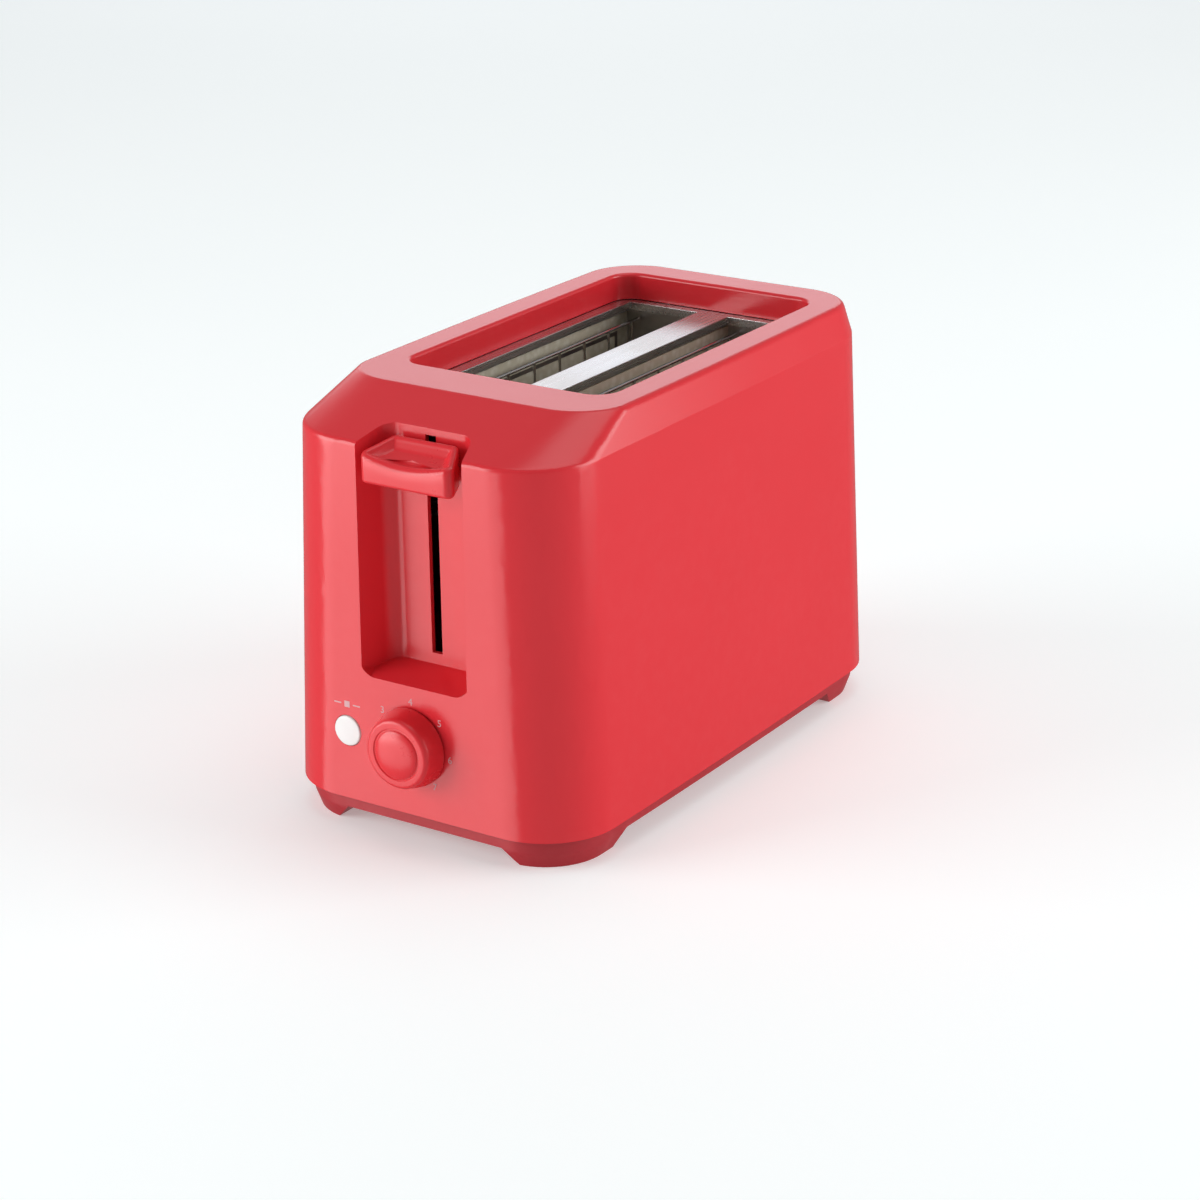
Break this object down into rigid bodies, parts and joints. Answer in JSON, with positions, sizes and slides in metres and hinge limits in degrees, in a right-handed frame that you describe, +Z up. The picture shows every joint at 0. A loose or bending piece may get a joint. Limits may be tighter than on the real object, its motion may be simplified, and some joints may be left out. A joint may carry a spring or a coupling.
{
  "type": "pop-up toaster",
  "caption": "Pop-up toaster with a moulded shell, sloped front band, lever in a front recess, browning dial, stop button, wire bread guards and a pull-out crumb tray.",
  "frame": {"origin": "middle of the bounding box's bottom face, on the surface that the feet stand on", "axes": "+Z up, -Y towards the lever end, +X to the right of someone who faces the lever end"},
  "size_m": [0.152, 0.28, 0.1835],
  "materials": {
    "black_plastic": "matt",
    "board": "laminate",
    "brass": "bright",
    "bright_sheet": "bright",
    "ceramic": "unglazed",
    "coil_copper": "enamelled winding",
    "core_iron": "laminated iron",
    "guard_wire": "bright drawn",
    "heater_alloy": "heat tinted",
    "lead_sleeve": "silicone sleeve",
    "mica": "pressed mica",
    "red_base": "fine matt",
    "red_lever": "satin gloss",
    "red_shell": "satin gloss",
    "rod_steel": "ground",
    "rubber": "matt",
    "screw_steel": "zinc plated",
    "spring_steel": "bright drawn",
    "steel_sheet": "mill finish",
    "white_button": "satin"
  },
  "bodies": {
    "appliance": {"housing": "red_shell", "base": "red_base", "base_screws": "screw_steel", "chassis_screws": "screw_steel", "front_end_plate": "steel_sheet", "rear_end_plate": "steel_sheet", "slot_plate": "bright_sheet", "reflector_left": "bright_sheet", "reflector_right": "bright_sheet", "guide_rod": "rod_steel", "stop_pad": "rubber", "circuit_board": "board", "magnet_core": "core_iron", "magnet_coil": "coil_copper", "contact_blades": "brass", "browning_control": "black_plastic", "stop_switch": "black_plastic", "terminal_blocks": "ceramic", "terminal_tabs": "brass", "internal_leads": "lead_sleeve", "cord_gland": "black_plastic", "gland_ring": "black_plastic", "mica_board_outer_left": "mica", "heater_ribbon_outer_left": "heater_alloy", "mica_board_inner_left": "mica", "heater_ribbon_inner_left": "heater_alloy", "mica_board_inner_right": "mica", "heater_ribbon_inner_right": "heater_alloy", "mica_board_outer_right": "mica", "heater_ribbon_outer_right": "heater_alloy"},
    "carriage": {"carriage_bracket": "steel_sheet", "bread_rest_left": "steel_sheet", "bread_rest_right": "steel_sheet", "carriage_bush": "black_plastic", "magnet_keeper": "core_iron", "contact_pusher": "black_plastic", "lever": "red_lever", "return_spring": "spring_steel"},
    "dial": {"browning_dial": "red_lever", "dial_shaft": "black_plastic"},
    "button": {"stop_button": "white_button"},
    "tray": {"crumb_tray": "bright_sheet", "tray_handle": "red_base"},
    "guard_outer_left": {"bread_guard_outer_left": "guard_wire"},
    "guard_inner_left": {"bread_guard_inner_left": "guard_wire"},
    "guard_inner_right": {"bread_guard_inner_right": "guard_wire"},
    "guard_outer_right": {"bread_guard_outer_right": "guard_wire"}
  },
  "joints": [
    {"name": "lever_slide", "type": "slide", "parent": "appliance", "child": "carriage", "axis": [0, 0, -1], "range_m": [0, 0.075], "stiffness_N_per_m": 80, "springref_m": -0.05, "deforming": ["return_spring"]},
    {"name": "guard_outer_left_hinge", "type": "hinge", "parent": "appliance", "child": "guard_outer_left", "pos_m": [-0.0425, 0.025, 0.036], "axis": [0, 1, 0], "range_deg": [0, 3.2]},
    {"name": "guard_inner_left_hinge", "type": "hinge", "parent": "appliance", "child": "guard_inner_left", "pos_m": [-0.0095, 0.025, 0.036], "axis": [0, -1, 0], "range_deg": [0, 3.2]},
    {"name": "guard_inner_right_hinge", "type": "hinge", "parent": "appliance", "child": "guard_inner_right", "pos_m": [0.0095, 0.025, 0.036], "axis": [0, 1, 0], "range_deg": [0, 3.2]},
    {"name": "guard_outer_right_hinge", "type": "hinge", "parent": "appliance", "child": "guard_outer_right", "pos_m": [0.0425, 0.025, 0.036], "axis": [0, -1, 0], "range_deg": [0, 3.2]},
    {"name": "dial_turn", "type": "hinge", "parent": "appliance", "child": "dial", "pos_m": [-0.002, -0.13, 0.044], "axis": [0, 1, 0], "range_deg": [-144, 144]},
    {"name": "stop_press", "type": "slide", "parent": "appliance", "child": "button", "axis": [0, 1, 0], "range_m": [0, 0.0015], "stiffness_N_per_m": 600, "springref_m": -0.0015},
    {"name": "tray_pull", "type": "slide", "parent": "appliance", "child": "tray", "axis": [0, 1, 0], "range_m": [0, 0.18]}
  ],
  "couplings": [
    {"joint": "guard_outer_left_hinge", "follows": "lever_slide", "rad_per_m": 0.7376},
    {"joint": "guard_inner_left_hinge", "follows": "lever_slide", "rad_per_m": 0.7376},
    {"joint": "guard_inner_right_hinge", "follows": "lever_slide", "rad_per_m": 0.7376},
    {"joint": "guard_outer_right_hinge", "follows": "lever_slide", "rad_per_m": 0.7376}
  ]
}
